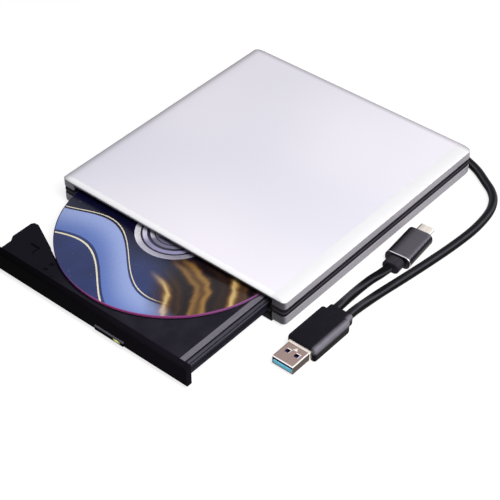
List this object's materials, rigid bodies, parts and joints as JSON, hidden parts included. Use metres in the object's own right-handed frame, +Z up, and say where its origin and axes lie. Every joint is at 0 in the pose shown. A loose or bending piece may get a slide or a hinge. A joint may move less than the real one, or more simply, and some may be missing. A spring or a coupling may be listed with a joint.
{
  "type": "external optical disc drive",
  "caption": "Flat external disc drive with a sliding tray on telescoping rails, a loaded disc on a turning hub, a moving pickup, an eject button and a cord with a wide and a small plug.",
  "frame": {"origin": "on the floor, under the middle of the drive's box with the tray out as pictured, cord and plugs left out", "axes": "+Z up, -Y the way the tray comes out, +X to the right when facing the back from the tray's side"},
  "size_m": [0.1753, 0.2212, 0.0174],
  "materials": {
    "silver_shell": "satin silver paint",
    "black_plastic": "fine grain",
    "rubber": "matt",
    "steel": "satin",
    "circuit_board": "solder mask",
    "chip_resin": "matt",
    "tray_plastic": "fine grain",
    "black_sheet": "matt",
    "bezel_gloss": "gloss",
    "light_window": "lit",
    "disc": "printed",
    "cast_metal": "cast",
    "lens_glass": "coated",
    "cord_jacket": "satin",
    "plug_grip": "satin",
    "plug_metal": "plated",
    "plug_sleeve": "satin",
    "tongue_blue": "moulded"
  },
  "bodies": {
    "case": {"top_cover": "silver_shell", "bottom_cover": "silver_shell", "mid_frame": "black_plastic", "rubber_foot_1": "rubber", "rubber_foot_2": "rubber", "rubber_foot_3": "rubber", "rubber_foot_4": "rubber", "case_screw_1": "steel", "case_screw_2": "steel", "case_screw_3": "steel", "case_screw_4": "steel", "cord_gland": "rubber", "chassis_pan": "steel", "chassis_lid": "steel", "rail_guide_left": "black_plastic", "rail_guide_right": "black_plastic", "drive_board": "circuit_board", "drive_controller": "chip_resin", "drive_plug": "black_plastic", "bridge_board": "circuit_board", "bridge_socket": "black_plastic", "bridge_controller": "chip_resin", "main_cord": "cord_jacket", "short_cord": "cord_jacket", "plug_a_body": "plug_grip", "plug_a_shell": "plug_metal", "plug_a_tongue": "tongue_blue", "plug_c_body": "plug_sleeve", "plug_c_collar": "plug_grip", "plug_c_shell": "plug_metal", "plug_c_tongue": "chip_resin"},
    "tray": {"tray": "tray_plastic", "tray_under_cover": "black_sheet", "bezel": "bezel_gloss", "front_board": "circuit_board", "eject_switch": "chip_resin", "traverse_frame": "steel", "spindle_motor": "steel", "guide_rod_inner": "steel", "guide_rod_outer": "steel", "stepper_motor": "steel"},
    "left_rail": {"slide_rail_left": "steel"},
    "right_rail": {"slide_rail_right": "steel"},
    "button": {"eject_button": "bezel_gloss", "light_window": "light_window"},
    "latch": {"eject_latch": "black_plastic"},
    "spindle": {"turntable": "black_plastic", "turntable_pad": "rubber", "disc_hub": "black_plastic", "disc": "disc"},
    "pickup": {"pickup_sled": "cast_metal"},
    "lens": {"lens_holder": "black_plastic", "objective_lens": "lens_glass"},
    "screw": {"lead_screw": "steel"}
  },
  "joints": [
    {"name": "tray_slide", "type": "slide", "parent": "case", "child": "tray", "axis": [0, -1, 0], "range_m": [-0.0575, 0.072]},
    {"name": "left_rail_slide", "type": "slide", "parent": "case", "child": "left_rail", "axis": [0, -1, 0], "range_m": [-0.02875, 0.036]},
    {"name": "right_rail_slide", "type": "slide", "parent": "case", "child": "right_rail", "axis": [0, -1, 0], "range_m": [-0.02875, 0.036]},
    {"name": "button_press", "type": "slide", "parent": "tray", "child": "button", "axis": [0, 1, 0], "range_m": [0, 0.0008], "stiffness_N_per_m": 800},
    {"name": "latch_swing", "type": "hinge", "parent": "tray", "child": "latch", "pos_m": [-0.0365, -0.0082, 0.0065], "axis": [0, 0, 1], "range_deg": [0, 10]},
    {"name": "spindle_spin", "type": "hinge", "parent": "tray", "child": "spindle", "pos_m": [-0.0035, -0.0365, 0.0108], "axis": [0, 0, 1], "continuous": true},
    {"name": "pickup_slide", "type": "slide", "parent": "tray", "child": "pickup", "axis": [0.7071, -0.7071, 0], "range_m": [0, 0.032]},
    {"name": "screw_spin", "type": "hinge", "parent": "tray", "child": "screw", "pos_m": [0.01764, -0.03502, 0.0064], "axis": [0.7071, -0.7071, 0], "continuous": true},
    {"name": "lens_focus", "type": "slide", "parent": "pickup", "child": "lens", "axis": [0, 0, 1], "range_m": [-0.0003, 0.0003], "stiffness_N_per_m": 40}
  ],
  "couplings": [
    {"joint": "left_rail_slide", "follows": "tray_slide", "ratio": 0.5},
    {"joint": "right_rail_slide", "follows": "tray_slide", "ratio": 0.5},
    {"joint": "screw_spin", "follows": "pickup_slide", "rad_per_m": 2094.4}
  ]
}
